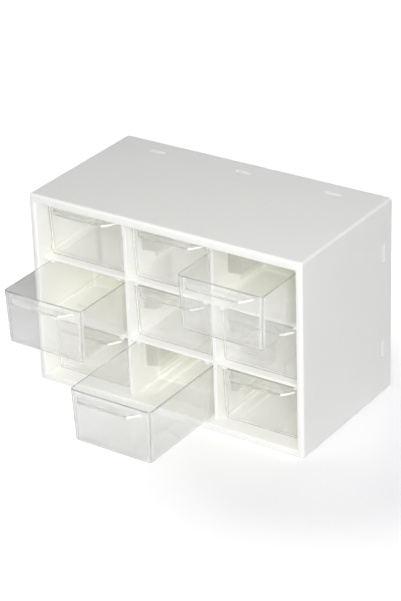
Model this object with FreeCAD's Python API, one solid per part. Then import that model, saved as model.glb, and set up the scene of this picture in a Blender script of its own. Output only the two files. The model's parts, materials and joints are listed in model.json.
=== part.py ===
import FreeCAD, Part
import os

os.makedirs("parts", exist_ok=True)

# Desktop organizer: a white moulded case with three columns and three rows of clear drawers.
# The origin is the centre of the case's bottom face. The drawers open towards -Y, and +Z is up.
# All sizes are in millimetres.

# Grid of cells
COLUMNS = ["left", "middle", "right"]
ROWS = ["bottom", "middle", "top"]
CELL_WIDTH = 66.4
CELL_HEIGHT = 42.3
DIVIDER_THICKNESS = 2.6
SHELF_THICKNESS = 1.8

# Front border, which is also the depth of the thick frame that the plates stop against
BORDER_SIDE = 4.8
BORDER_BOTTOM = 5.2
BORDER_TOP = 6.3
BORDER_DEPTH = 14.0
BORDER_INNER_ROUND = 1.0

# Shell behind the border
SHELL_WALL = 2.4
OUTER_ROUND = 2.0
REAR_ROUND = 0.8
RAIL_HEIGHT = 1.6
RUNNER_WIDTH = 2.0
RUNNER_SPACING = 48.0
CHANNEL_RIB_WIDTH = 1.6

# Plates that make the grid
GRID_RECESS = 7.5
PLATE_CLEARANCE = 0.15
LAP_CLEARANCE = 0.1
LAP_DEPTH = 52.0
PANEL_GAP = 0.2

# Windows in the dividers: depths are from the case's front, heights are above the cell's floor
WINDOW_FRONT = 24.4
WINDOW_STEP = 39.0
WINDOW_REAR = 97.0
WINDOW_SILL = 2.0
WINDOW_STEP_TOP = 6.8
WINDOW_SLOPE_TOP = 14.0
WINDOW_TOP_BAND = 8.0
WINDOW_ROUND = 4.5
WINDOW_STEP_ROUND = 2.5
WINDOW_CORNER_ROUND = 1.5

# Small slots in the lower shelf
SLIT_LENGTH = 9.0
SLIT_WIDTH = 1.0
SLIT_FROM_CELL_SIDE = 9.5
SLIT_DEPTH = 28.0

# Stop nubs under each cell's ceiling
NUB_WIDTH = 3.0
NUB_LENGTH = 2.2
NUB_BEHIND_GRID = 0.5
NUB_FROM_CELL_SIDE = 5.5
NUB_ROUND = 0.7
NUB_PLAY = 0.55

# Drawers
DRAWER_RECESS = 10.7
DRAWER_LENGTH = 100.3
DRAWER_SIDE_PLAY = 1.0
DRAWER_HEADROOM = 3.05
DRAWER_RUN_GAP = 0.25
DRAWER_WALL = 1.35
DRAWER_SIDE_TAPER = 1.2
DRAWER_END_TAPER = 1.0
DRAWER_CORNER_ROUND = 3.0
DRAWER_BOTTOM_ROUND = 2.2
DRAWER_INNER_ROUND = 1.0
OPEN_BY = {"bottom_middle": 75.1, "middle_left": 51.9, "top_right": 47.0}

# Finger lip on each drawer's front
LIP_BELOW_RIM = 2.5
LIP_THICKNESS = 1.2
LIP_REACH = 8.5
LIP_ROOT_WIDTH = 51.0
LIP_FRONT_WIDTH = 40.0
LIP_ROUND = 3.0

# Back panel and its catches
BACK_GAP = 0.4
PANEL_THICKNESS = 2.4
PANEL_RECESS = 1.2
TONGUE_THICKNESS = 1.8
TONGUE_REACH_PAST_CATCH = 1.0
CATCH_LENGTH = 3.4
CATCH_PLAY = 0.3
CATCH_FRONT_BELOW_SURFACE = 1.0
CATCH_REAR_BELOW_SURFACE = 0.15
TOP_CATCH_WIDTH = 11.9
TOP_CATCH_SPACING = 70.5
TOP_CATCH_FROM_REAR = 15.0
SIDE_CATCH_WIDTH = 12.4
SIDE_CATCH_HEIGHTS = [34.0, 106.0]
SIDE_CATCH_FROM_REAR = 12.0

# Sizes that follow from the ones above
CELL_PITCH = CELL_WIDTH + DIVIDER_THICKNESS
ROW_PITCH = CELL_HEIGHT + SHELF_THICKNESS
GRID_WIDTH = len(COLUMNS) * CELL_PITCH - DIVIDER_THICKNESS
GRID_HEIGHT = len(ROWS) * ROW_PITCH - SHELF_THICKNESS
CASE_WIDTH = GRID_WIDTH + 2 * BORDER_SIDE
CASE_HEIGHT = BORDER_BOTTOM + GRID_HEIGHT + BORDER_TOP
CASE_DEPTH = DRAWER_RECESS + DRAWER_LENGTH + BACK_GAP + PANEL_THICKNESS + PANEL_RECESS
FRONT = -CASE_DEPTH / 2
REAR = CASE_DEPTH / 2
SIDE = CASE_WIDTH / 2
CEILING = BORDER_BOTTOM + GRID_HEIGHT
PANEL_FRONT = REAR - PANEL_RECESS - PANEL_THICKNESS
PLATE_FRONT = FRONT + GRID_RECESS
PLATE_REAR = PANEL_FRONT - PANEL_GAP
SHOULDER = FRONT + BORDER_DEPTH + PLATE_CLEARANCE
DRAWER_WIDTH = CELL_WIDTH - 2 * DRAWER_SIDE_PLAY
DRAWER_HEIGHT = CELL_HEIGHT - DRAWER_HEADROOM - DRAWER_RUN_GAP
NUB_HEIGHT = DRAWER_HEADROOM - NUB_PLAY
WINDOW_TOP = CELL_HEIGHT - WINDOW_TOP_BAND
PAST = 1.0


def box(x_span, y_span, z_span):
    """A box between two values on each axis."""
    size = [span[1] - span[0] for span in (x_span, y_span, z_span)]
    corner = FreeCAD.Vector(x_span[0], y_span[0], z_span[0])
    return Part.makeBox(size[0], size[1], size[2], corner)


def around(centre, width):
    """The span of a given width about a centre."""
    return (centre - width / 2, centre + width / 2)


def column_centre(column):
    """X of the middle of a column of cells."""
    return (column - (len(COLUMNS) - 1) / 2) * CELL_PITCH


def divider_centre(index):
    """X of the middle of the divider to the right of a column."""
    return column_centre(index) + CELL_PITCH / 2


def row_floor(row):
    """Z of the floor of a row of cells."""
    return BORDER_BOTTOM + row * ROW_PITCH


def shelf_span(index):
    """Bottom and top of the shelf above a row."""
    return (row_floor(index) + CELL_HEIGHT, row_floor(index + 1))


def edges_along(shape, axis, test):
    """Straight edges of a shape that run along an axis and whose middle passes a test."""
    found = []
    for edge in shape.Edges:
        if len(edge.Vertexes) != 2:
            continue
        run = edge.Vertexes[1].Point - edge.Vertexes[0].Point
        if run.Length > 1e-6 and abs(run.dot(axis)) / run.Length > 0.9999 and test(edge.CenterOfMass):
            found.append(edge)
    return found


def near(value, target):
    """True where a coordinate lies on a plane."""
    return abs(value - target) < 0.01


def nub(x, ceiling):
    """A stop nub under a ceiling, rounded along its lower edges."""
    front = PLATE_FRONT + NUB_BEHIND_GRID
    low = ceiling - NUB_HEIGHT
    block = box(around(x, NUB_WIDTH), (front, front + NUB_LENGTH), (low, ceiling + PAST / 2))
    lower = [edge for edge in block.Edges if near(edge.CenterOfMass.z, low)]
    return block.makeFillet(NUB_ROUND, lower)


def nubs_under(ceiling):
    """Two nubs for each column, near the sides of the cell."""
    reach = CELL_WIDTH / 2 - NUB_FROM_CELL_SIDE
    places = [column_centre(column) + side * reach for column in range(len(COLUMNS)) for side in (-1, 1)]
    return [nub(x, ceiling) for x in places]


def catch_places():
    """Each catch: the wall that it is in, its place along that wall, its width and its depth."""
    places = []
    for wall in ("top", "bottom"):
        for step in (-1, 0, 1):
            places.append((wall, step * TOP_CATCH_SPACING, TOP_CATCH_WIDTH, REAR - TOP_CATCH_FROM_REAR))
    for wall in ("left", "right"):
        for height in SIDE_CATCH_HEIGHTS:
            places.append((wall, height, SIDE_CATCH_WIDTH, REAR - SIDE_CATCH_FROM_REAR))
    return places


def against_wall(wall, along, y_span, inward):
    """A box in or under one wall: a span along the wall, a span of depth, and a span measured inwards."""
    if wall == "top":
        return box(along, y_span, (CASE_HEIGHT - inward[1], CASE_HEIGHT - inward[0]))
    if wall == "bottom":
        return box(along, y_span, inward)
    if wall == "left":
        return box((-SIDE + inward[0], -SIDE + inward[1]), y_span, along)
    return box((SIDE - inward[1], SIDE - inward[0]), y_span, along)


def point_at_wall(wall, along, y, inward):
    """A point by its place along a wall, its depth, and its distance inwards from the outside."""
    if wall == "top":
        return FreeCAD.Vector(along, y, CASE_HEIGHT - inward)
    if wall == "bottom":
        return FreeCAD.Vector(along, y, inward)
    if wall == "left":
        return FreeCAD.Vector(-SIDE + inward, y, along)
    return FreeCAD.Vector(SIDE - inward, y, along)


def catch(wall, along, y_span, root):
    """A catch on a tongue: its outer face rises towards the rear, so the panel clicks in from behind."""
    outline = [
        (y_span[0], CATCH_FRONT_BELOW_SURFACE),
        (y_span[1], CATCH_REAR_BELOW_SURFACE),
        (y_span[1], root),
        (y_span[0], root),
    ]
    points = [point_at_wall(wall, along[0], y, inward) for y, inward in outline]
    wire = Part.makePolygon(points + points[:1])
    across = point_at_wall(wall, along[1], 0, 0) - point_at_wall(wall, along[0], 0, 0)
    return Part.Face(wire).extrude(across)


def outer_form():
    """The outside of the case, with rounded front and long edges and slightly rounded rear edges."""
    form = box((-SIDE, SIDE), (FRONT, REAR), (0, CASE_HEIGHT))
    long_edges = edges_along(form, FreeCAD.Vector(0, 1, 0), lambda point: True)
    front_edges = [edge for edge in form.Edges if near(edge.CenterOfMass.y, FRONT)]
    form = form.makeFillet(OUTER_ROUND, long_edges + front_edges)
    rear_edges = [edge for edge in form.Edges if near(edge.CenterOfMass.y, REAR)]
    return form.makeFillet(REAR_ROUND, rear_edges)


def front_opening():
    """The opening through the border, as wide and as high as the grid of cells."""
    return box(around(0, GRID_WIDTH), (FRONT - PAST, FRONT + BORDER_DEPTH + PAST), (BORDER_BOTTOM, CEILING))


def outer_shell():
    """The moulded tunnel: border, walls, shelf rails, divider channels, runners, nubs and windows."""
    shell = outer_form().cut(front_opening())
    inner_edges = [
        edge for edge in shell.Edges
        if near(edge.CenterOfMass.y, FRONT)
        and abs(edge.CenterOfMass.x) <= GRID_WIDTH / 2 + 0.01
        and BORDER_BOTTOM - 0.01 <= edge.CenterOfMass.z <= CEILING + 0.01
    ]
    shell = shell.makeFillet(BORDER_INNER_ROUND, inner_edges)
    inside = (SIDE - SHELL_WALL, SHELL_WALL, CASE_HEIGHT - SHELL_WALL)
    behind_border = (FRONT + BORDER_DEPTH, REAR + PAST)
    shell = shell.cut(box((-inside[0], inside[0]), behind_border, (inside[1], inside[2])))

    added = []
    rib_run = (FRONT + BORDER_DEPTH - PAST, PLATE_REAR)
    into_wall = SHELL_WALL / 2
    for index in range(len(ROWS) - 1):
        low, high = shelf_span(index)
        for z_span in (
            (low - PLATE_CLEARANCE - RAIL_HEIGHT, low - PLATE_CLEARANCE),
            (high + PLATE_CLEARANCE, high + PLATE_CLEARANCE + RAIL_HEIGHT),
        ):
            for wall in ("left", "right"):
                added.append(against_wall(wall, z_span, rib_run, (into_wall, BORDER_SIDE)))
    for index in range(len(COLUMNS) - 1):
        offset = DIVIDER_THICKNESS / 2 + PLATE_CLEARANCE + CHANNEL_RIB_WIDTH / 2
        for side in (-1, 1):
            span = around(divider_centre(index) + side * offset, CHANNEL_RIB_WIDTH)
            added.append(against_wall("bottom", span, rib_run, (into_wall, BORDER_BOTTOM)))
            added.append(against_wall("top", span, rib_run, (into_wall, BORDER_TOP)))
    for column in range(len(COLUMNS)):
        for side in (-1, 1):
            span = around(column_centre(column) + side * RUNNER_SPACING / 2, RUNNER_WIDTH)
            added.append(against_wall("bottom", span, rib_run, (into_wall, BORDER_BOTTOM)))
    added += nubs_under(CEILING)
    shell = shell.fuse(added)

    for wall, centre, width, depth in catch_places():
        opening = around(centre, width + 2 * CATCH_PLAY)
        y_span = around(depth, CATCH_LENGTH + 2 * CATCH_PLAY)
        shell = shell.cut(against_wall(wall, opening, y_span, (-PAST, SHELL_WALL + PLATE_CLEARANCE / 2)))
    return shell.removeSplitter()


def back_panel():
    """The rear plate, with a forward tongue and a catch for each window of the shell."""
    half = SIDE - SHELL_WALL - PLATE_CLEARANCE
    z_span = (SHELL_WALL + PLATE_CLEARANCE, CASE_HEIGHT - SHELL_WALL - PLATE_CLEARANCE)
    panel = box((-half, half), (PANEL_FRONT, PANEL_FRONT + PANEL_THICKNESS), z_span)
    corners = edges_along(panel, FreeCAD.Vector(0, 1, 0), lambda point: True)
    panel = panel.makeFillet(REAR_ROUND, corners)
    under_wall = SHELL_WALL + PLATE_CLEARANCE
    added = []
    for wall, centre, width, depth in catch_places():
        tip = depth - CATCH_LENGTH / 2 - TONGUE_REACH_PAST_CATCH
        tongue_run = (tip, PANEL_FRONT + PANEL_THICKNESS / 2)
        across = around(centre, width)
        added.append(against_wall(wall, across, tongue_run, (under_wall, under_wall + TONGUE_THICKNESS)))
        added.append(catch(wall, across, around(depth, CATCH_LENGTH), under_wall + TONGUE_THICKNESS / 2))
    return panel.fuse(added).removeSplitter()


def window(divider_x, row):
    """The cutter for one divider window: a long opening with a sloped and stepped front lower end."""
    floor = row_floor(row)
    outline = [
        (WINDOW_FRONT, WINDOW_TOP),
        (WINDOW_FRONT, WINDOW_SLOPE_TOP),
        (WINDOW_STEP, WINDOW_STEP_TOP),
        (WINDOW_STEP, WINDOW_SILL),
        (WINDOW_REAR, WINDOW_SILL),
        (WINDOW_REAR, WINDOW_TOP),
    ]
    left = divider_x - DIVIDER_THICKNESS / 2 - PAST
    points = [FreeCAD.Vector(left, FRONT + depth, floor + height) for depth, height in outline]
    wire = Part.makePolygon(points + points[:1])
    cutter = Part.Face(wire).extrude(FreeCAD.Vector(DIVIDER_THICKNESS + 2 * PAST, 0, 0))
    rounds = [
        WINDOW_CORNER_ROUND,
        WINDOW_ROUND,
        WINDOW_STEP_ROUND,
        WINDOW_CORNER_ROUND,
        WINDOW_CORNER_ROUND,
        WINDOW_CORNER_ROUND,
    ]
    for radius, point in zip(rounds, points):
        across = edges_along(
            cutter,
            FreeCAD.Vector(1, 0, 0),
            lambda middle, point=point: near(middle.y, point.y) and near(middle.z, point.z),
        )
        cutter = cutter.makeFillet(radius, across)
    return cutter


def divider(index):
    """An upright plate with a window per row, notched at the border and slotted for the shelves."""
    x = divider_centre(index)
    thickness = around(x, DIVIDER_THICKNESS)
    inside = (SHELL_WALL + PLATE_CLEARANCE, CASE_HEIGHT - SHELL_WALL - PLATE_CLEARANCE)
    plate = box(thickness, (SHOULDER, PLATE_REAR), inside)
    in_border = (BORDER_BOTTOM + PLATE_CLEARANCE, CEILING - PLATE_CLEARANCE)
    plate = plate.fuse(box(thickness, (PLATE_FRONT, SHOULDER + PAST), in_border)).removeSplitter()
    cutters = [window(x, row) for row in range(len(ROWS))]
    for shelf in range(len(ROWS) - 1):
        low, high = shelf_span(shelf)
        slot_front = PLATE_FRONT + LAP_DEPTH - LAP_CLEARANCE
        z_span = (low - LAP_CLEARANCE, high + LAP_CLEARANCE)
        cutters.append(box(around(x, DIVIDER_THICKNESS + 2 * PAST), (slot_front, REAR), z_span))
    return plate.cut(cutters)


def shelf(index, slits):
    """A level plate notched at the border, slotted for the dividers, with nubs under its front."""
    z_span = shelf_span(index)
    half = SIDE - SHELL_WALL - PLATE_CLEARANCE
    plate = box((-half, half), (SHOULDER, PLATE_REAR), z_span)
    in_border = GRID_WIDTH / 2 - PLATE_CLEARANCE
    plate = plate.fuse(box((-in_border, in_border), (PLATE_FRONT, SHOULDER + PAST), z_span))
    plate = plate.fuse(nubs_under(z_span[0])).removeSplitter()
    through = (z_span[0] - PAST, z_span[1] + PAST)
    cutters = []
    for divider_index in range(len(COLUMNS) - 1):
        x_span = around(divider_centre(divider_index), DIVIDER_THICKNESS + 2 * LAP_CLEARANCE)
        cutters.append(box(x_span, (FRONT, PLATE_FRONT + LAP_DEPTH + LAP_CLEARANCE), through))
    if slits:
        for column in range(len(COLUMNS)):
            left = column_centre(column) - CELL_WIDTH / 2 + SLIT_FROM_CELL_SIDE
            cutters.append(box((left, left + SLIT_LENGTH), around(FRONT + SLIT_DEPTH, SLIT_WIDTH), through))
    return plate.cut(cutters)


def rounded_rectangle(x_half, y_front, y_rear, radius, z):
    """A closed wire: a rectangle with quarter-circle corners."""
    corners = [(x_half, y_front, 1, -1), (x_half, y_rear, 1, 1), (-x_half, y_rear, -1, 1), (-x_half, y_front, -1, -1)]
    bend = radius * (1 - 0.5 ** 0.5)
    edges = []
    previous = FreeCAD.Vector(-x_half + radius, y_front, z)
    for x, y, x_side, y_side in corners:
        on_x = FreeCAD.Vector(x, y - y_side * radius, z)
        on_y = FreeCAD.Vector(x - x_side * radius, y, z)
        middle = FreeCAD.Vector(x - x_side * bend, y - y_side * bend, z)
        start, end = (on_y, on_x) if x_side == -y_side else (on_x, on_y)
        edges.append(Part.LineSegment(previous, start).toShape())
        edges.append(Part.Arc(start, middle, end).toShape())
        previous = end
    return Part.Wire(edges)


def tapered_tray(x_half, y_front, y_rear, z_low, z_high, radius, side_taper, end_taper, bottom_round):
    """A solid that narrows downwards, with round corners and a rounded bottom edge."""
    top = rounded_rectangle(x_half, y_front, y_rear, radius, z_high)
    bottom = rounded_rectangle(x_half - side_taper, y_front + end_taper, y_rear - end_taper, radius, z_low)
    solid = Part.makeLoft([bottom, top], True, True)
    lowest = [edge for edge in solid.Edges if near(edge.BoundBox.ZMin, z_low) and near(edge.BoundBox.ZMax, z_low)]
    return solid.makeFillet(bottom_round, lowest)


def finger_lip():
    """The thin ledge on a drawer's front: wider at its root, with rounded front corners."""
    z = DRAWER_HEIGHT - LIP_BELOW_RIM - LIP_THICKNESS
    root_half = LIP_ROOT_WIDTH / 2
    front_half = LIP_FRONT_WIDTH / 2
    outline = [
        (-root_half, DRAWER_WALL / 2),
        (-root_half, 0),
        (-front_half, -LIP_REACH),
        (front_half, -LIP_REACH),
        (root_half, 0),
        (root_half, DRAWER_WALL / 2),
    ]
    points = [FreeCAD.Vector(x, y, z) for x, y in outline]
    plate = Part.Face(Part.makePolygon(points + points[:1])).extrude(FreeCAD.Vector(0, 0, LIP_THICKNESS))
    corners = edges_along(plate, FreeCAD.Vector(0, 0, 1), lambda point: near(point.y, -LIP_REACH))
    return plate.makeFillet(LIP_ROUND, corners)


def drawer_form():
    """One clear drawer, with the middle of its front rim over the origin and its bottom at z = 0."""
    body = tapered_tray(
        DRAWER_WIDTH / 2, 0, DRAWER_LENGTH, 0, DRAWER_HEIGHT,
        DRAWER_CORNER_ROUND, DRAWER_SIDE_TAPER, DRAWER_END_TAPER, DRAWER_BOTTOM_ROUND,
    )
    hollow = tapered_tray(
        DRAWER_WIDTH / 2 - DRAWER_WALL, DRAWER_WALL, DRAWER_LENGTH - DRAWER_WALL, DRAWER_WALL, DRAWER_HEIGHT,
        DRAWER_CORNER_ROUND - DRAWER_WALL, DRAWER_SIDE_TAPER, DRAWER_END_TAPER, DRAWER_INNER_ROUND,
    )
    return body.fuse(finger_lip()).cut(hollow)


def drawer(form, column, row, pulled):
    """A drawer in its cell, pulled out by a distance."""
    placed = form.copy()
    front = FRONT + DRAWER_RECESS - pulled
    placed.translate(FreeCAD.Vector(column_centre(column), front, row_floor(row) + DRAWER_RUN_GAP))
    return placed


shapes = {
    "outer_shell": outer_shell(),
    "back_panel": back_panel(),
    "left_divider": divider(0),
    "right_divider": divider(1),
    "lower_shelf": shelf(0, True),
    "upper_shelf": shelf(1, False),
}
clear_drawer = drawer_form()
for row, row_name in enumerate(ROWS):
    for column, column_name in enumerate(COLUMNS):
        place = row_name + "_" + column_name
        shapes["drawer_" + place] = drawer(clear_drawer, column, row, OPEN_BY.get(place, 0.0))

for name, shape in shapes.items():
    shape.exportStep("parts/" + name + ".step")
    bounds = shape.BoundBox
    print(name, len(shape.Solids), shape.isValid(), round(shape.Volume / 1000, 2), "cm3", bounds)
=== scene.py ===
import json
import math

import bmesh
import bpy
import numpy as np
from mathutils import Matrix, Vector


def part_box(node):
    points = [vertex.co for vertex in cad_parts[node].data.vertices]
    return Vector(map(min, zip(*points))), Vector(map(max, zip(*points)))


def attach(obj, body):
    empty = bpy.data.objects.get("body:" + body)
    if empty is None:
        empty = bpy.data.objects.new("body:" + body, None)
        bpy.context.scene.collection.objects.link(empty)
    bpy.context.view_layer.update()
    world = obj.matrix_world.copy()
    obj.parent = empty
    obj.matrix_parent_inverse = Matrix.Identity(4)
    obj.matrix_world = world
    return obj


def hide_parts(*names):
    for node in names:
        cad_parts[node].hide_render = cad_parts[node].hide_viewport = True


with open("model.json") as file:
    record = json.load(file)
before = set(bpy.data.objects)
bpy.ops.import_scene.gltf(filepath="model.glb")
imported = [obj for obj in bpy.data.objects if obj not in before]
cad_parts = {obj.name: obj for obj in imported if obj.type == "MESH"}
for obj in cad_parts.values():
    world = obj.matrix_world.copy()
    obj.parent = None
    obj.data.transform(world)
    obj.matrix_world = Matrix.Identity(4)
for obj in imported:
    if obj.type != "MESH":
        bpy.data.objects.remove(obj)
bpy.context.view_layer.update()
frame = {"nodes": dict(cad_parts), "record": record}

# Outer shell. The real one is a single injection moulding in white polystyrene: a tunnel with a
# thick front border. Its mould was finely blasted, so it has a satin surface with a soft sheen,
# and the thin walls let a little light through.
POLYSTYRENE_IOR = 1.59
# The whiter colour of the faces inside the case and of the plates is painted light.
PAINTED_LIGHT_WHITE = "#fffff9"
# Painted shade for faces that nearly meet, within this reach of each other.
PAINTED_SLIT_SHADE = "#6c685c"
SLIT_REACH = 0.0012
OUTSIDE_LIGHT_DEPTH = 0.0008
SKIN = (0.0015, 0.0005, 0.0012)

# Socket numbers of a Mix node that mixes colours
COLOUR_A = 6
COLOUR_B = 7
COLOUR_OUT = 2


def linear(code):
    """An sRGB hex code as linear red, green, blue and full alpha."""
    channels = [int(code[i:i + 2], 16) / 255 for i in (1, 3, 5)]
    return (*(c / 12.92 if c <= 0.04045 else ((c + 0.055) / 1.055) ** 2.4 for c in channels), 1.0)


def blank_material(name):
    """A new material with an empty node tree, and that tree."""
    material = bpy.data.materials.new(name)
    material.use_nodes = True
    material.node_tree.nodes.clear()
    return material, material.node_tree


def add(tree, kind, settings=None, links=None):
    """Adds a node to a tree, sets its properties and sockets, and links outputs into it. Where a link
    gives a whole node, its first output is meant."""
    node = tree.nodes.new(kind)
    for name, value in (settings or {}).items():
        if isinstance(name, int) or name in node.inputs:
            node.inputs[name].default_value = value
        else:
            setattr(node, name, value)
    for name, source in (links or {}).items():
        output = source.outputs[0] if isinstance(source, bpy.types.Node) else source
        tree.links.new(output, node.inputs[name])
    return node


def within_the_case(tree, place):
    """One at the case's inside faces and at the plates in it, nought at the faces that show from
    outside. The distances from the case's middle along x, y and z are each taken as a share of the
    distance to just under its outside, which is SKIN deep, and the largest has to be below one."""
    low, high = (np.array(corner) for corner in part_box("outer_shell"))
    middle = (low + high) / 2
    half = (high - low) / 2 - SKIN
    share = add(
        tree, "ShaderNodeMapping",
        {"Location": tuple(-middle / half), "Scale": tuple(1 / half)}, {"Vector": place},
    )
    share = add(tree, "ShaderNodeVectorMath", {"operation": "ABSOLUTE"}, {0: share})
    share = add(tree, "ShaderNodeSeparateXYZ", links={"Vector": share}).outputs
    level = add(tree, "ShaderNodeMath", {"operation": "MAXIMUM"}, {0: share["X"], 1: share["Y"]})
    most = add(tree, "ShaderNodeMath", {"operation": "MAXIMUM"}, {0: level, 1: share["Z"]})
    return add(tree, "ShaderNodeMath", {"operation": "LESS_THAN", 1: 1.0}, {0: most})


def satin_polystyrene(name, outside, inside, mould_grain_mm, flow_mm, depth_mm, shut_in, open_wide):
    """White polystyrene from a blasted mould, which gives the eye a soft sheen and light that spreads
    a little within the plastic. The bump holds the mould's grain, drawn a few times coarser than the
    real one so that it shows, and the colour holds faint broad flow marks. The faces inside the case
    get a whiter colour of their own, which is painted light that brightens the cells, and their
    light spreads by depth_mm, which for so white a plastic is many times the depth that light reaches.
    Faces that nearly meet, as in a slit, are darkened by a painted shade: fully so where the share of
    open air before them is shut_in or less, and not at all from open_wide on."""
    material, tree = blank_material(name)
    place = add(tree, "ShaderNodeTexCoord").outputs["Object"]
    within = within_the_case(tree, place)
    flow = add(tree, "ShaderNodeTexNoise", {"Scale": 1000 / flow_mm, "Detail": 3.0}, {"Vector": place})
    # The inside faces take the whiter colour, painted light that brightens the cells.
    tone = add(
        tree, "ShaderNodeMix",
        {"data_type": "RGBA", COLOUR_A: linear(outside), COLOUR_B: linear(inside)}, {"Factor": within},
    ).outputs[COLOUR_OUT]
    tone = add(
        tree, "ShaderNodeMix",
        {"data_type": "RGBA", "blend_type": "MULTIPLY", COLOUR_B: linear("#fdfdfd")},
        {"Factor": flow, COLOUR_A: tone},
    ).outputs[COLOUR_OUT]
    # Painted shade where faces nearly meet, found by ambient occlusion.
    open_air = add(
        tree, "ShaderNodeAmbientOcclusion", {"only_local": True, "samples": 4, "Distance": SLIT_REACH}
    ).outputs["AO"]
    lit = add(
        tree, "ShaderNodeMapRange", {"From Min": shut_in, "From Max": open_wide}, {"Value": open_air}
    )
    tone = add(
        tree, "ShaderNodeMix", {"data_type": "RGBA", COLOUR_A: linear(PAINTED_SLIT_SHADE)},
        {"Factor": lit, COLOUR_B: tone},
    ).outputs[COLOUR_OUT]
    depth = add(
        tree, "ShaderNodeMapRange", {"To Min": OUTSIDE_LIGHT_DEPTH, "To Max": depth_mm / 1000},
        {"Value": within},
    )
    sheen = add(tree, "ShaderNodeMapRange", {"To Min": 0.38, "To Max": 0.46}, {"Value": flow})
    grain = add(
        tree, "ShaderNodeTexNoise", {"Scale": 1000 / mould_grain_mm, "Detail": 2.0}, {"Vector": place}
    )
    bump = add(tree, "ShaderNodeBump", {"Strength": 0.12, "Distance": 0.00005}, {"Height": grain})
    surface = add(
        tree, "ShaderNodeBsdfPrincipled",
        {"IOR": POLYSTYRENE_IOR, "Subsurface Weight": 1.0, "Subsurface Radius": (1.0, 0.99, 0.92)},
        {"Base Color": tone, "Roughness": sheen, "Subsurface Scale": depth, "Normal": bump},
    )
    add(tree, "ShaderNodeOutputMaterial", links={"Surface": surface})
    return material


def dress(node, material):
    """Gives a carried-over node one material."""
    mesh = frame["nodes"][node].data
    mesh.materials.clear()
    mesh.materials.append(material)


shell_plastic = satin_polystyrene(
    "white_polystyrene_moulded_satin", outside="#f4f4f1", inside=PAINTED_LIGHT_WHITE,
    mould_grain_mm=0.35, flow_mm=40, depth_mm=1.5, shut_in=0.1, open_wide=0.45,
)
dress("outer_shell", shell_plastic)

# Dividers, shelves and back panel. The real ones are flat plates moulded in the same white
# polystyrene, a little more polished; all their faces get the whiter colour, which is painted
# light. The dividers and shelves slide in from the rear, and the back snaps in behind them. It has
# open air on its far side, so it lets the most light through.
plate_plastic = satin_polystyrene(
    "white_polystyrene_moulded_plates", outside=PAINTED_LIGHT_WHITE, inside=PAINTED_LIGHT_WHITE,
    mould_grain_mm=0.3, flow_mm=25, depth_mm=0.8, shut_in=0.55, open_wide=0.9,
)
for node in ("left_divider", "right_divider", "upper_shelf", "lower_shelf"):
    dress(node, plate_plastic)

back_plastic = satin_polystyrene(
    "white_polystyrene_moulded_back", outside=PAINTED_LIGHT_WHITE, inside=PAINTED_LIGHT_WHITE,
    mould_grain_mm=0.3, flow_mm=25, depth_mm=60, shut_in=0.1, open_wide=0.45,
)
dress("back_panel", back_plastic)

# Drawers. Each real one is a single injection moulding in clear polystyrene: tapered walls a bit
# over a millimetre thick, rounded edges, and a thin finger lip across the front under the rim.
# Its flat walls are looked through and its rounds bend the light. Its thin edges get a painted
# shade, its rounds a white haze that is also a painted highlight, and the lip's right end a painted
# highlight.
DRAWER_WALL = 0.00135
DRAWER_SIDE_TAPER = 0.0012
DRAWER_END_TAPER = 0.0010
DRAWER_CORNER = 0.0030
DRAWER_LEAST_CORNER = 0.0006
DRAWER_BOTTOM_ROUND = 0.0022
DRAWER_INNER_ROUND = 0.0010
RIM_ROUND = 0.00035
LIP_BELOW_RIM = 0.0025
LIP_THICKNESS = 0.0012
LIP_REACH = 0.0085
LIP_ROOT_HALF = 0.0255
LIP_FRONT_HALF = 0.0200
LIP_CORNER = 0.0030
LIP_EDGE_ROUND = 0.00035
LIP_ROOT_ROUND = 0.0003
LIP_ROOT_FADE = 3 * LIP_ROOT_ROUND

# Rows and stations of the drawers' grids: a row beside a round keeps the wall's shading flat, and
# the lip's ends, from one share of the front's half width to another, have the closest stations.
ROW_BESIDE_ROUND = 0.0004
LIP_ENDS_FROM = 0.52
LIP_ENDS_TO = 0.92
LIP_END_STATIONS = 34
SAME_PLACE = 0.00002
SHARP_FROM = math.radians(40)

# How much of the light is bent, not let straight through, and where each zone lies, in shares: the
# lip and its right end's painted highlight of its full reach, the rim's top of its round, the outside
# of the wall, and the painted shade on the edges of the wall at the rim, of the corners' rounds at
# the front and of the bottom's round.
SEEN_ON_WALLS = 0.06
SEEN_ON_RIM = 0.35
SEEN_ON_ROUNDS = 0.5
SEEN_ON_EDGES = 0.8
SEEN_ON_LIP = 0.1
LIP_STARTS = 0.02
LIP_PAINTED_GLINT_TO = 0.97
RIM_TOP = 1.5
OUTSIDE_TO = 0.4
DARK_RIM_TO = 0.78
DARK_CORNER_FROM = 0.55
DARK_CORNER_TO = 0.85
DARK_BOTTOM_FROM = 0.05
DARK_BOTTOM_TO = 0.7


def arc(start, end, count):
    """Angles from start to end in degrees, both included."""
    return np.radians(np.linspace(start, end, count))


def lip_reach(x):
    """How far the lip stands out at x: flat in the middle, then a straight slope to its root. The
    corner between them is rounded by a smooth minimum, over nine tenths of the corner's radius."""
    slope = LIP_REACH / (LIP_ROOT_HALF - LIP_FRONT_HALF)
    sloped = (LIP_ROOT_HALF - np.abs(x)) * slope
    blend = 0.9 * LIP_CORNER
    share = np.clip(0.5 + 0.5 * (sloped - LIP_REACH) / blend, 0, 1)
    reach = sloped + (LIP_REACH - sloped) * share - blend * share * (1 - share)
    return np.clip(reach, 0, None)


def round_rows(turns, height, radius, inset=0, share=0, offset=0, inset_way=0, offset_way=0):
    """Profile rows of a round edge: the height goes with the sine of the turn, and the inset or the
    lip's offset with its cosine, one way or the other."""
    up, across = radius * np.sin(turns), radius * np.cos(turns)
    rows = (height + up, inset + inset_way * across, share, offset + offset_way * across)
    return np.stack(np.broadcast_arrays(*rows), axis=1)


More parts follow.
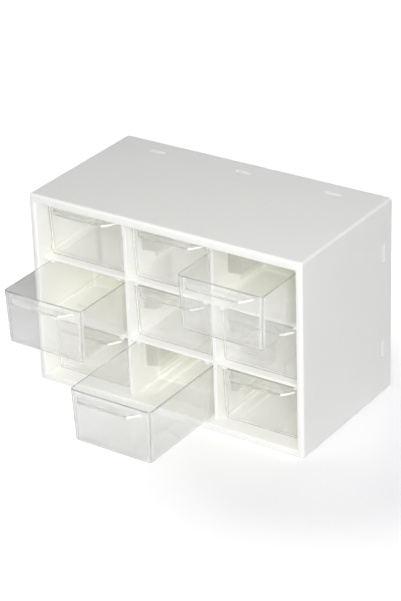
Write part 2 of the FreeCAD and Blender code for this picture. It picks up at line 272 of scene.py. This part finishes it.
def drawer_profile(height):
    """Rows of height, inset, lip share and lip offset, from the middle of the underside, up the
    outside, over the rim and down to the inside floor. Inset is measured from the outside at the rim's
    outline. The lip stands out from the front by its reach times the share, plus the offset."""
    wall, low, inner, rim = DRAWER_WALL, DRAWER_BOTTOM_ROUND, DRAWER_INNER_ROUND, RIM_ROUND
    edge, root = LIP_EDGE_ROUND, LIP_ROOT_ROUND
    lip_high = height - LIP_BELOW_RIM
    lip_low = lip_high - LIP_THICKNESS
    floor_round = wall + inner
    return np.concatenate([
        round_rows(arc(-90, 0, 8), low, low, inset=low, inset_way=-1),
        [(low + ROW_BESIDE_ROUND, 0, 0, 0), (height / 2, 0, 0, 0), (lip_low - 2 * root, 0, 0, 0)],
        round_rows(arc(0, 90, 4), lip_low - root, root, offset=root, offset_way=-1),
        [(lip_low, 0, 0.5, 0)],
        round_rows(arc(-90, 0, 4), lip_low + edge, edge, share=1, offset=-edge, offset_way=1),
        round_rows(arc(0, 90, 4), lip_high - edge, edge, share=1, offset=-edge, offset_way=1),
        [(lip_high, 0, 0.5, 0)],
        round_rows(arc(-90, 0, 4), lip_high + root, root, offset=root, offset_way=-1),
        [(lip_high + 2 * root, 0, 0, 0), (height - 2 * rim, 0, 0, 0)],
        round_rows(arc(0, 90, 5), height - rim, rim, inset=rim, inset_way=-1),
        round_rows(arc(90, 0, 5), height - rim, rim, inset=wall - rim, inset_way=1),
        [(height - 2 * rim, wall, 0, 0), (height / 2, wall, 0, 0)],
        [(floor_round + ROW_BESIDE_ROUND, wall, 0, 0)],
        round_rows(arc(0, -90, 6), floor_round, inner, inset=floor_round, inset_way=-1),
    ])


def perimeter():
    """Stations round the drawer, from the front's left end on. Each is the unit direction of a point
    on its corner's circle, then the shares of the half width and of the half length at which that
    circle's centre stands. A straight side and the corner after it are written as they lie at the
    front, and are then turned by a quarter for each side that they are further on."""
    lip_end = np.linspace(LIP_ENDS_FROM, LIP_ENDS_TO, LIP_END_STATIONS)
    lip_middle = np.linspace(-0.48, 0.48, 13)
    front = np.concatenate([[-1, -0.985], -lip_end[::-1], lip_middle, lip_end, [0.985, 1]])
    side = np.array([-1, -0.99, -0.5, 0, 0.5, 0.99, 1])
    back = np.array([-1, -0.985, -0.5, 0, 0.5, 0.985, 1])
    turns = arc(-90, 0, 10)[1:-1]
    corner = [(math.cos(turn), math.sin(turn), 1, -1) for turn in turns]
    stations = []
    for number, run in enumerate((front, side, back, side)):
        straight = [(0, -1, share, -1) for share in run]
        quarter_turns = np.linalg.matrix_power(np.array([[0, 1], [-1, 0]]), number)
        stations.append(np.array(straight + corner).reshape(-1, 2, 2) @ quarter_turns)
    return np.concatenate(stations).reshape(-1, 4)


def drawer_points(low, high):
    """Points of the closed drawer surface, one row per profile point and one column per station: at
    each height the outline is a rectangle with round corners, drawn in by the taper and the profile's
    inset. On the front the lip's share of its reach and its offset are added outwards. Returned with
    them are three grids by name: how much the clear plastic is seen, where the lip's right end gets a
    painted highlight, and where a thin edge gets a painted shade."""
    height = high.z - low.z
    z, inset, share, offset = np.split(drawer_profile(height), 4, axis=1)
    turn_x, turn_y, share_x, share_y = perimeter().T
    drop = 1 - z / height
    radius = np.clip(DRAWER_CORNER - inset, DRAWER_LEAST_CORNER, None)
    front = low.y + LIP_REACH
    half_x = (high.x - low.x) / 2 - DRAWER_SIDE_TAPER * drop - inset - radius
    half_y = (high.y - front) / 2 - DRAWER_END_TAPER * drop - inset - radius
    x = share_x * half_x + turn_x * radius
    y = share_y * half_y + turn_y * radius
    reach = np.where((share_y == -1) & (turn_x == 0), lip_reach(x), 0)
    y = y - reach * share - np.clip(reach / LIP_ROOT_FADE, 0, 1) * offset
    points = np.stack([x + (low.x + high.x) / 2, y + (front + high.y) / 2, z + low.z + 0 * x], axis=-1)

    lip = ((share > 0) | (offset > 0)) & (reach > LIP_STARTS * LIP_REACH)
    lip_edge = lip & (share == 1)
    # The lip's right end gets a painted highlight, a matt white for the lamp's glint on it.
    matt = lip_edge & (reach < LIP_PAINTED_GLINT_TO * LIP_REACH) & (x > 0)
    rim = z > height - RIM_TOP * RIM_ROUND
    bottom = z / DRAWER_BOTTOM_ROUND
    low_edge = (bottom < 1) & (turn_y < 0) & (inset < DRAWER_BOTTOM_ROUND)
    corner = (turn_x != 0) & (turn_y < 0)
    turned = np.abs(turn_x)
    middle = corner & (turned > DARK_CORNER_FROM) & (turned < DARK_CORNER_TO)
    # Painted shade: where a thin edge gets a darker colour.
    dark = rim & (inset < DARK_RIM_TO * DRAWER_WALL)
    dark = dark | (middle & (inset < OUTSIDE_TO * DRAWER_WALL) & (bottom > 1))
    dark = dark | (low_edge & (bottom > DARK_BOTTOM_FROM) & (bottom < DARK_BOTTOM_TO))
    dark = dark | (lip_edge & (z < height - LIP_BELOW_RIM - LIP_THICKNESS / 2))
    seen = np.where(corner | low_edge, SEEN_ON_ROUNDS, SEEN_ON_WALLS)
    seen = np.where(rim | lip_edge, SEEN_ON_RIM, np.where(lip, SEEN_ON_LIP, seen))
    seen = np.where(dark, SEEN_ON_EDGES, seen)
    seen[[0, -1]] = SEEN_ON_WALLS
    return points, {"seen": seen, "painted_glint_end": matt, "painted_dark_edge": dark}


def closed_surface(name, points, marks):
    """A mesh of the grid's quads, wrapped round its columns and closed at both ends by a fan round the
    mean of the end row. The other grids become its attributes under their own names."""
    rows, columns = points.shape[:2]
    index = np.arange(rows * columns).reshape(rows, columns)
    after = np.roll(index, -1, axis=1)
    quads = np.stack([index[:-1], after[:-1], after[1:], index[1:]], axis=-1).reshape(-1, 4)
    first, last = rows * columns, rows * columns + 1
    underside = np.stack([after[0], index[0], np.full(columns, first)], axis=-1)
    inside = np.stack([index[-1], after[-1], np.full(columns, last)], axis=-1)
    vertices = np.concatenate([points.reshape(-1, 3), points[[0, -1]].mean(axis=1)])
    mesh = bpy.data.meshes.new(name)
    mesh.from_pydata(vertices.tolist(), [], quads.tolist() + underside.tolist() + inside.tolist())
    for mark, grid in marks.items():
        values = np.append(grid, grid[[0, -1], 0]).astype(np.float32)
        mesh.attributes.new(mark, "FLOAT", "POINT").data.foreach_set("value", values)
    shape = bmesh.new()
    shape.from_mesh(mesh)
    bmesh.ops.remove_doubles(shape, verts=shape.verts, dist=SAME_PLACE)
    bmesh.ops.dissolve_degenerate(shape, edges=shape.edges, dist=SAME_PLACE / 2)
    bmesh.ops.recalc_face_normals(shape, faces=shape.faces)
    shape.to_mesh(mesh)
    shape.free()
    mesh.shade_smooth()
    mesh.set_sharp_from_angle(angle=SHARP_FROM)
    return mesh


# The clear plastic's waves in millimetres, its shares of bent, mirrored and hazy light, where the
# haze on the rounds is also a painted highlight, and the number of turns after which a ray is let
# straight through.
WAVES_MM = 18
EDGE_ON_POWER = 4.0
BENT_EDGE_ON = 0.25
MIRRORED_EDGE_ON = 0.9
MIRRORED_FACE_ON = 0.05
HAZE_ON_RIM = 0.03
HAZE_AND_HIGHLIGHT_ON_ROUNDS = 0.25
MOST_TURNS = 5.5


def clear_polystyrene(name, tint, painted_edge_shade):
    """Clear polystyrene from a polished mould: high index, hardly any blur, and slightly wavy walls.
    The attribute "seen" says how much of the light is bent, and the rest goes straight through. Walls
    seen edge on bend and mirror more, with a high power of how far they face away. The rounds have a
    white haze, which on them is also a painted highlight. The thin edges get a darker colour and no
    gloss, a painted shade, and the lip's right end gets a matt white, a painted highlight for the
    lamp's glint on it. Shadow rays and diffuse rays pass straight through, and so does every ray that
    has turned often enough."""
    material, tree = blank_material(name)
    place = add(tree, "ShaderNodeTexCoord").outputs["Object"]
    waves = add(tree, "ShaderNodeTexNoise", {"Scale": 1000 / WAVES_MM, "Detail": 2.0}, {"Vector": place})
    bump = add(tree, "ShaderNodeBump", {"Strength": 0.08, "Distance": 0.0002}, {"Height": waves})
    seen = add(tree, "ShaderNodeAttribute", {"attribute_name": "seen"}).outputs["Fac"]
    dark = add(tree, "ShaderNodeAttribute", {"attribute_name": "painted_dark_edge"}).outputs["Fac"]
    clear = add(tree, "ShaderNodeMath", {"operation": "SUBTRACT", 0: 1.0}, {1: dark})
    facing = add(tree, "ShaderNodeLayerWeight", {"Blend": 0.5}).outputs["Facing"]
    edge_on = add(tree, "ShaderNodeMath", {"operation": "POWER", 1: EDGE_ON_POWER}, {0: facing})

    # The thin edges take a darker colour: painted shade for how dark they look in clear plastic.
    tone = add(
        tree, "ShaderNodeMix",
        {"data_type": "RGBA", COLOUR_A: linear(tint), COLOUR_B: linear(painted_edge_shade)}, {"Factor": dark},
    ).outputs[COLOUR_OUT]
    bent = add(
        tree, "ShaderNodeBsdfPrincipled",
        {"IOR": POLYSTYRENE_IOR, "Transmission Weight": 1.0, "Roughness": 0.0},
        {"Base Color": tone, "Normal": bump},
    )
    body = add(
        tree, "ShaderNodeMath", {"operation": "MULTIPLY_ADD", "use_clamp": True, 1: BENT_EDGE_ON},
        {0: edge_on, 2: seen},
    )
    straight = add(tree, "ShaderNodeBsdfTransparent")
    surface = add(tree, "ShaderNodeMixShader", links={0: body, 1: straight, 2: bent})

    gloss = add(
        tree, "ShaderNodeMath", {"operation": "MULTIPLY_ADD", 1: MIRRORED_EDGE_ON, 2: MIRRORED_FACE_ON},
        {0: edge_on},
    )
    gloss = add(tree, "ShaderNodeMath", {"operation": "MULTIPLY"}, {0: gloss, 1: clear})
    mirror = add(tree, "ShaderNodeBsdfGlossy", {"Roughness": 0.0}, {"Normal": bump})
    surface = add(tree, "ShaderNodeMixShader", links={0: gloss, 1: surface, 2: mirror})

    # A white haze, slight on the walls and rim; on the rounds it is also a painted highlight.
    hazy = add(
        tree, "ShaderNodeMapRange",
        {
            "From Min": SEEN_ON_RIM, "From Max": SEEN_ON_ROUNDS,
            "To Min": HAZE_ON_RIM, "To Max": HAZE_AND_HIGHLIGHT_ON_ROUNDS,
        },
        {"Value": seen},
    )
    hazy = add(tree, "ShaderNodeMath", {"operation": "MULTIPLY"}, {0: hazy, 1: clear})
    haze = add(tree, "ShaderNodeBsdfDiffuse", {"Color": linear("#ffffff")})
    surface = add(tree, "ShaderNodeMixShader", links={0: hazy, 1: surface, 2: haze})

    # Painted highlight: a matt white on the lip's right end for the lamp's glint.
    painted_glint_end = add(tree, "ShaderNodeAttribute", {"attribute_name": "painted_glint_end"}).outputs["Fac"]
    painted_glint_face = add(
        tree, "ShaderNodeBsdfPrincipled",
        {"Base Color": linear("#fdfdfc"), "IOR": POLYSTYRENE_IOR, "Roughness": 0.5},
    )
    surface = add(tree, "ShaderNodeMixShader", links={0: painted_glint_end, 1: surface, 2: painted_glint_face})

    path = add(tree, "ShaderNodeLightPath").outputs
    turned = add(
        tree, "ShaderNodeMath", {"operation": "GREATER_THAN", 1: MOST_TURNS}, {0: path["Ray Depth"]}
    )
    freed = add(
        tree, "ShaderNodeMath", {"operation": "MAXIMUM"},
        {0: path["Is Shadow Ray"], 1: path["Is Diffuse Ray"]},
    )
    freed = add(tree, "ShaderNodeMath", {"operation": "MAXIMUM"}, {0: freed, 1: turned})
    surface = add(tree, "ShaderNodeMixShader", links={0: freed, 1: surface, 2: straight})
    add(tree, "ShaderNodeOutputMaterial", links={"Surface": surface})
    return material


drawer_plastic = clear_polystyrene("clear_polystyrene_moulded", tint="#fefefc", painted_edge_shade="#9c9e99")
for body, (node, *_) in frame["record"]["behaviour"]["bodies"].items():
    if not node.startswith("drawer_"):
        continue
    mesh = closed_surface("clear_" + node, *drawer_points(*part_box(node)))
    mesh.materials.append(drawer_plastic)
    piece = bpy.data.objects.new("clear_" + node, mesh)
    bpy.context.scene.collection.objects.link(piece)
    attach(piece, body)
    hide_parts(node)

# Floor and surroundings. The case stands on a sweep of matt white paper, in a white room that
# gives a low even light, with a large softbox at the front right, a small one near above and a
# weak one behind. The paper shows plain white where nothing shades it.
FLOOR_HALF = 6.0
GLOW_MIDDLE = (0.11, -0.04, 0.0)
GLOW_FROM = 0.08
GLOW_TO = 0.3
GLOW_THROUGH_PLASTIC = 0.12
LIGHT_AIM = (0, 0, 0.07)
REAR_LIGHT_AIM = (0, 0, 0.072)


def looking_rays(tree, through_plastic):
    """One for mirrored rays and for rays straight from the camera, less for straight rays that have
    passed clear plastic, and nought for bent rays through the plastic and for all others."""
    path = add(tree, "ShaderNodeLightPath").outputs
    mirrored = add(
        tree, "ShaderNodeMath", {"operation": "SUBTRACT", "use_clamp": True},
        {0: path["Is Glossy Ray"], 1: path["Is Transmission Ray"]},
    )
    passed = add(
        tree, "ShaderNodeMapRange", {"From Max": 1.0, "To Min": 1.0, "To Max": through_plastic},
        {"Value": path["Transparent Depth"]},
    )
    straight = add(
        tree, "ShaderNodeMath", {"operation": "MULTIPLY"}, {0: path["Is Camera Ray"], 1: passed}
    )
    return add(tree, "ShaderNodeMath", {"operation": "MAXIMUM"}, {0: straight, 1: mirrored})


def white_paper(name, near_lift, far_lift):
    """Matt white paper with a little light of its own for the rays that look at it: less beside the
    object, so that its shadow stays, and more away from it, so that the paper reaches plain white.
    Rays that are bent in the clear plastic meet a greyer paper, a painted shade, so that the rounds
    don't wash out."""
    material, tree = blank_material(name)
    place = add(tree, "ShaderNodeTexCoord").outputs["Object"]
    away = add(tree, "ShaderNodeVectorMath", {"operation": "SUBTRACT", 1: GLOW_MIDDLE}, {0: place})
    away = add(tree, "ShaderNodeVectorMath", {"operation": "LENGTH"}, {0: away}).outputs["Value"]
    lift = add(
        tree, "ShaderNodeMapRange",
        {"From Min": GLOW_FROM, "From Max": GLOW_TO, "To Min": near_lift, "To Max": far_lift},
        {"Value": away},
    )
    looking = looking_rays(tree, GLOW_THROUGH_PLASTIC)
    shown = add(tree, "ShaderNodeMath", {"operation": "MULTIPLY"}, {0: lift, 1: looking})
    glow = add(tree, "ShaderNodeEmission", links={"Strength": shown})
    # Bent rays meet a greyer paper: painted shade.
    bent = add(tree, "ShaderNodeLightPath").outputs["Is Transmission Ray"]
    grey = add(
        tree, "ShaderNodeMix",
        {"data_type": "RGBA", COLOUR_A: linear("#efeff1"), COLOUR_B: linear("#d2d2d4")},
        {"Factor": bent},
    ).outputs[COLOUR_OUT]
    matt = add(tree, "ShaderNodeBsdfDiffuse", links={"Color": grey})
    both = add(tree, "ShaderNodeAddShader", links={0: matt, 1: glow})
    add(tree, "ShaderNodeOutputMaterial", links={"Surface": both})
    return material


floor_mesh = bpy.data.meshes.new("floor")
floor_corners = [(x * FLOOR_HALF, y * FLOOR_HALF, 0) for x, y in ((-1, -1), (1, -1), (1, 1), (-1, 1))]
floor_mesh.from_pydata(floor_corners, [], [(0, 1, 2, 3)])
floor_mesh.materials.append(white_paper("white_paper_sweep", near_lift=0.16, far_lift=0.8))
floor = bpy.data.objects.new("floor", floor_mesh)
bpy.context.scene.collection.objects.link(floor)

world = bpy.data.worlds.new("studio")
bpy.context.scene.world = world
world.use_nodes = True
sky = world.node_tree
sky.nodes.clear()
ambient = add(sky, "ShaderNodeBackground", {"Color": linear("#ffffff"), "Strength": 0.16})
white = add(sky, "ShaderNodeBackground", {"Color": linear("#ffffff"), "Strength": 1.0})
surroundings = add(sky, "ShaderNodeMixShader", links={0: looking_rays(sky, 1.0), 1: ambient, 2: white})
add(sky, "ShaderNodeOutputWorld", links={"Surface": surroundings})


def softbox(name, place, aim, size, power, spread=180):
    """A square area lamp that faces a point, with its beam's spread in degrees."""
    lamp = bpy.data.lights.new(name, "AREA")
    lamp.size = size
    lamp.energy = power
    lamp.spread = math.radians(spread)
    stand = bpy.data.objects.new(name, lamp)
    stand.location = place
    stand.rotation_euler = (Vector(aim) - Vector(place)).to_track_quat("-Z", "Y").to_euler()
    stand.visible_camera = False
    bpy.context.scene.collection.objects.link(stand)


softbox("key_softbox", place=(1.01, -1.47, 0.98), aim=LIGHT_AIM, size=0.8, power=28.5)
softbox("near_softbox", place=(0.15, -0.25, 0.65), aim=LIGHT_AIM, size=0.4, power=1.05)
softbox("rear_softbox", place=(0.0, 0.46, 0.072), aim=REAR_LIGHT_AIM, size=0.2, power=0.2, spread=50)
cycles = bpy.context.scene.cycles
cycles.max_bounces = 24
cycles.transmission_bounces = 24
cycles.diffuse_bounces = 16
cycles.transparent_max_bounces = 32

# Camera. It stands at the photograph's place and looks the same way, with the same long lens:
# position in metres, azimuth, elevation and roll in degrees, lens and sensor in millimetres.
CAMERA_PLACE = (0.7854, -1.1565, 0.7773)
CAMERA_AZIMUTH = 34.506
CAMERA_ELEVATION = 27.041
CAMERA_ROLL = -1.905
CAMERA_LENS = 138.39
CAMERA_SENSOR = 36.0
camera_data = bpy.data.cameras.new("camera")
camera_data.lens = CAMERA_LENS
camera_data.sensor_width = CAMERA_SENSOR
camera = bpy.data.objects.new("camera", camera_data)
camera.matrix_world = (
    Matrix.Translation(CAMERA_PLACE)
    @ Matrix.Rotation(math.radians(CAMERA_AZIMUTH), 4, "Z")
    @ Matrix.Rotation(math.radians(90 - CAMERA_ELEVATION), 4, "X")
    @ Matrix.Rotation(math.radians(CAMERA_ROLL), 4, "Z")
)
bpy.context.scene.collection.objects.link(camera)
bpy.context.scene.camera = camera
bpy.context.scene.view_settings.view_transform = "Standard"
